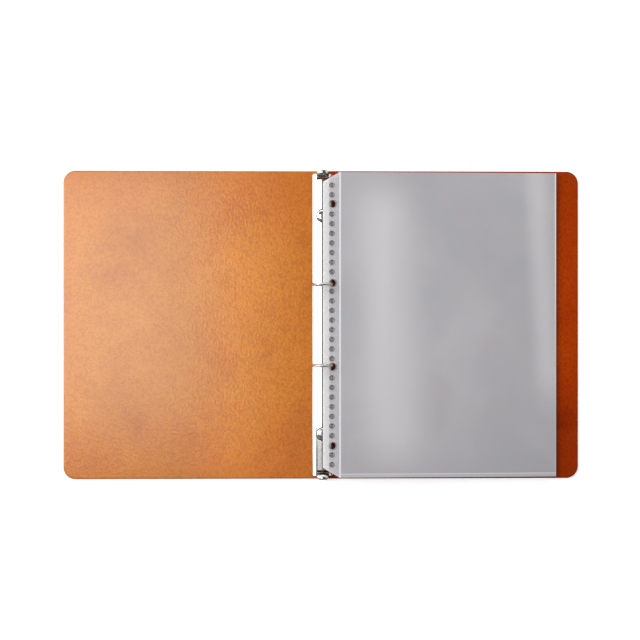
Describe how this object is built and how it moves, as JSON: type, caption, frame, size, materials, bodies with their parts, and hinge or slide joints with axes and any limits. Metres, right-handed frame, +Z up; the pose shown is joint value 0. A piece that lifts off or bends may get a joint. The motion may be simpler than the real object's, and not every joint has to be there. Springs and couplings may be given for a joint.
{
  "type": "ring-bound leather portfolio case",
  "caption": "Thick leather portfolio cover lying open, with a round-ring mechanism on its spine that holds clear A4 pockets.",
  "frame": {"origin": "on the table, under the middle of the open case", "axes": "+X from the front cover to the back cover, +Y along the spine towards the head, +Z up"},
  "size_m": [0.512, 0.306, 0.0223],
  "materials": {
    "leather": "satin",
    "nickel_plate": "polished",
    "steel": "satin",
    "clear_film": "gloss"
  },
  "bodies": {
    "spine": {"spine_panel": "leather", "cover_plate": "nickel_plate", "upper_rivet": "nickel_plate", "upper_spacer": "steel", "upper_rivet_back_cap": "nickel_plate", "lower_rivet": "nickel_plate", "lower_spacer": "steel", "lower_rivet_back_cap": "nickel_plate", "upper_lever_pin": "steel", "lower_lever_pin": "steel"},
    "front_cover": {"front_cover": "leather"},
    "back_cover": {"back_cover": "leather"},
    "left_ring_half": {"left_blade": "steel", "upper_ring_left_half": "nickel_plate", "lower_ring_left_half": "nickel_plate"},
    "right_ring_half": {"right_blade": "steel", "upper_ring_right_half": "nickel_plate", "lower_ring_right_half": "nickel_plate"},
    "upper_lever": {"upper_lever": "nickel_plate"},
    "lower_lever": {"lower_lever": "nickel_plate"},
    "leaf_01": {"pocket_01_back_film": "clear_film", "pocket_01_front_film": "clear_film"},
    "leaf_02": {"pocket_02_back_film": "clear_film", "pocket_02_front_film": "clear_film"},
    "leaf_03": {"pocket_03_back_film": "clear_film", "pocket_03_front_film": "clear_film"},
    "leaf_04": {"pocket_04_back_film": "clear_film", "pocket_04_front_film": "clear_film"},
    "leaf_05": {"pocket_05_back_film": "clear_film", "pocket_05_front_film": "clear_film"},
    "leaf_06": {"pocket_06_back_film": "clear_film", "pocket_06_front_film": "clear_film"},
    "leaf_07": {"pocket_07_back_film": "clear_film", "pocket_07_front_film": "clear_film"},
    "leaf_08": {"pocket_08_back_film": "clear_film", "pocket_08_front_film": "clear_film"},
    "leaf_09": {"pocket_09_back_film": "clear_film", "pocket_09_front_film": "clear_film"},
    "leaf_10": {"pocket_10_back_film": "clear_film", "pocket_10_front_film": "clear_film"}
  },
  "joints": [
    {"name": "front_cover_fold", "type": "hinge", "parent": "spine", "child": "front_cover", "pos_m": [-0.012, 0, 0.0015], "axis": [0, -1, 0], "range_deg": [-90, 0]},
    {"name": "back_cover_fold", "type": "hinge", "parent": "spine", "child": "back_cover", "pos_m": [0.014, 0, 0.0015], "axis": [0, 1, 0], "range_deg": [-90, 0]},
    {"name": "ring_open", "type": "hinge", "parent": "spine", "child": "left_ring_half", "pos_m": [-0.0079, 0, 0.00475], "axis": [0, -1, 0], "range_deg": [0, 13]},
    {"name": "right_ring_half_rock", "type": "hinge", "parent": "spine", "child": "right_ring_half", "pos_m": [0.0099, 0, 0.00475], "axis": [0, 1, 0], "range_deg": [0, 13]},
    {"name": "upper_lever_press", "type": "hinge", "parent": "spine", "child": "upper_lever", "pos_m": [0.001, 0.1469, 0.0049], "axis": [-1, 0, 0], "range_deg": [0, 22.1]},
    {"name": "lower_lever_press", "type": "hinge", "parent": "spine", "child": "lower_lever", "pos_m": [0.001, -0.1469, 0.0049], "axis": [1, 0, 0], "range_deg": [0, 22.1]},
    {"name": "leaf_10_turn", "type": "hinge", "parent": "spine", "child": "leaf_10", "pos_m": [0.001, 0, 0.012], "axis": [0, 1, 0], "range_deg": [-90, 0]},
    {"name": "leaf_09_turn", "type": "hinge", "parent": "leaf_10", "child": "leaf_09", "pos_m": [0.001, 0, 0.012], "axis": [0, -1, 0], "range_deg": [0, 180]},
    {"name": "leaf_08_turn", "type": "hinge", "parent": "leaf_09", "child": "leaf_08", "pos_m": [0.001, 0, 0.012], "axis": [0, -1, 0], "range_deg": [0, 180]},
    {"name": "leaf_07_turn", "type": "hinge", "parent": "leaf_08", "child": "leaf_07", "pos_m": [0.001, 0, 0.012], "axis": [0, -1, 0], "range_deg": [0, 180]},
    {"name": "leaf_06_turn", "type": "hinge", "parent": "leaf_07", "child": "leaf_06", "pos_m": [0.001, 0, 0.012], "axis": [0, -1, 0], "range_deg": [0, 180]},
    {"name": "leaf_05_turn", "type": "hinge", "parent": "leaf_06", "child": "leaf_05", "pos_m": [0.001, 0, 0.012], "axis": [0, -1, 0], "range_deg": [0, 180]},
    {"name": "leaf_04_turn", "type": "hinge", "parent": "leaf_05", "child": "leaf_04", "pos_m": [0.001, 0, 0.012], "axis": [0, -1, 0], "range_deg": [0, 180]},
    {"name": "leaf_03_turn", "type": "hinge", "parent": "leaf_04", "child": "leaf_03", "pos_m": [0.001, 0, 0.012], "axis": [0, -1, 0], "range_deg": [0, 180]},
    {"name": "leaf_02_turn", "type": "hinge", "parent": "leaf_03", "child": "leaf_02", "pos_m": [0.001, 0, 0.012], "axis": [0, -1, 0], "range_deg": [0, 180]},
    {"name": "leaf_01_turn", "type": "hinge", "parent": "leaf_02", "child": "leaf_01", "pos_m": [0.001, 0, 0.012], "axis": [0, -1, 0], "range_deg": [0, 180]}
  ],
  "couplings": [
    {"joint": "right_ring_half_rock", "follows": "ring_open", "ratio": 1},
    {"joint": "upper_lever_press", "follows": "ring_open", "ratio": 1.7},
    {"joint": "lower_lever_press", "follows": "ring_open", "ratio": 1.7},
    {"joint": "leaf_10_turn", "follows": "back_cover_fold", "ratio": 1}
  ]
}
